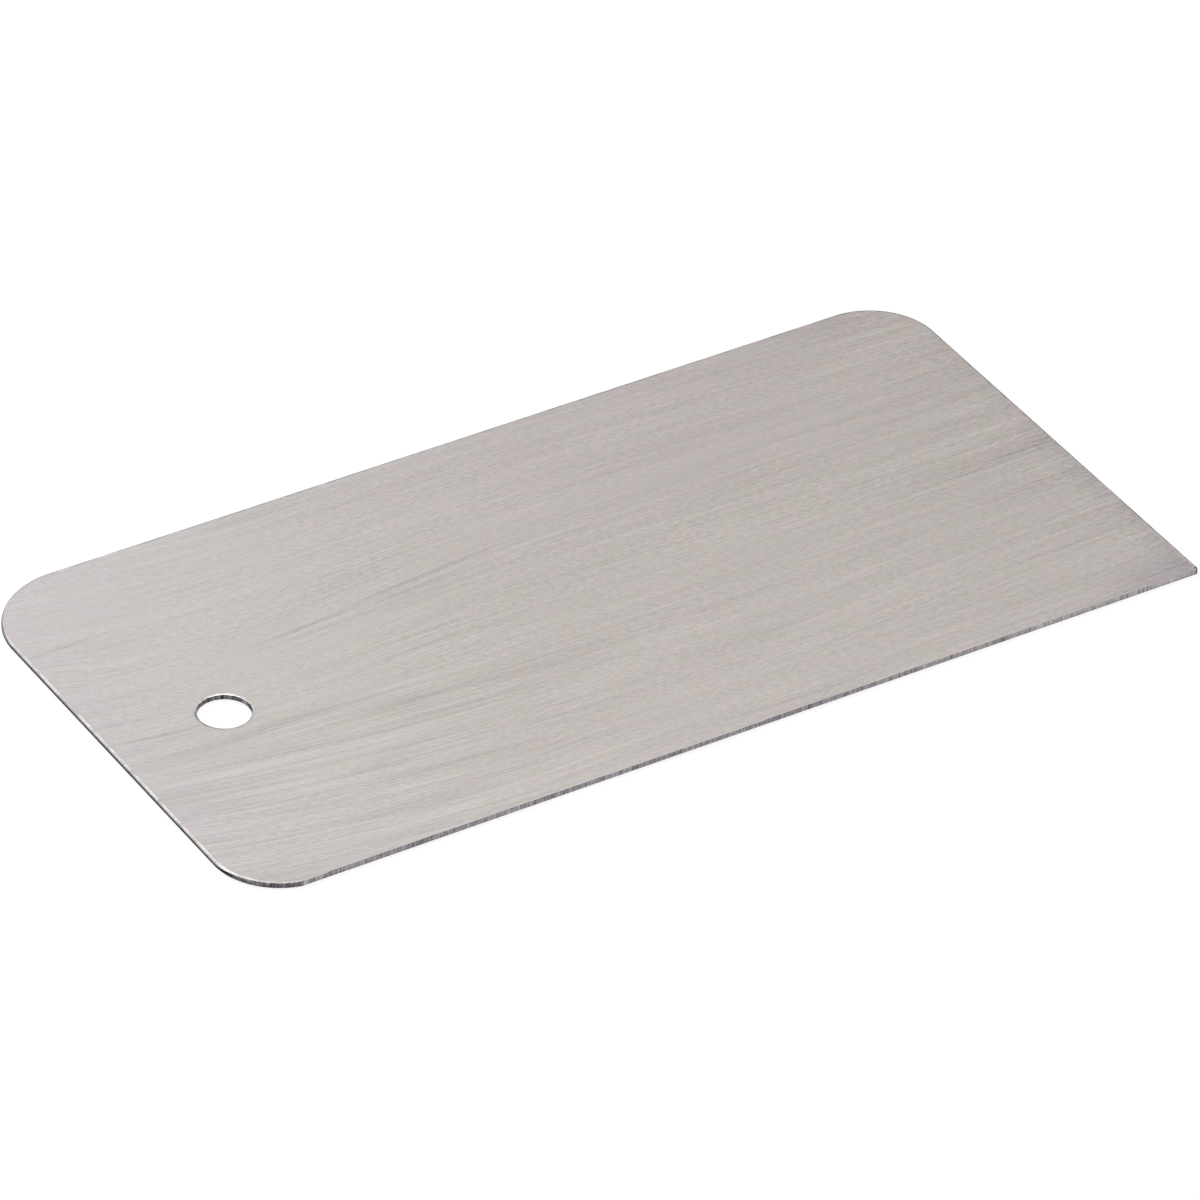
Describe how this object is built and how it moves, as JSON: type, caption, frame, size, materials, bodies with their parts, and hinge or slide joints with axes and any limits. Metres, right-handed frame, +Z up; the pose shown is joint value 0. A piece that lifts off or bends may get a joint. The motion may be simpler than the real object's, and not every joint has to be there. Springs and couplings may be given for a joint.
{
  "type": "ski scraper",
  "caption": "Flat sheet-steel hand scraper for skis: rounded corners with one left square, a ground scraping edge along its length, and a round hang hole near one end.",
  "frame": {"origin": "middle of the underside, on the surface that the plate lies on", "axes": "+X along the length, from the end with the hang hole to the end with the square corner; +Y from the ground front edge to the rear edge; +Z up, out of the face with the rolled rim"},
  "size_m": [0.12, 0.062, 0.0006],
  "materials": {
    "steel": "fine brushing along the length on both faces, punched end walls with a rolled rim, ground front edge"
  },
  "bodies": {
    "root": {"scraper_plate": "steel"}
  },
  "joints": []
}
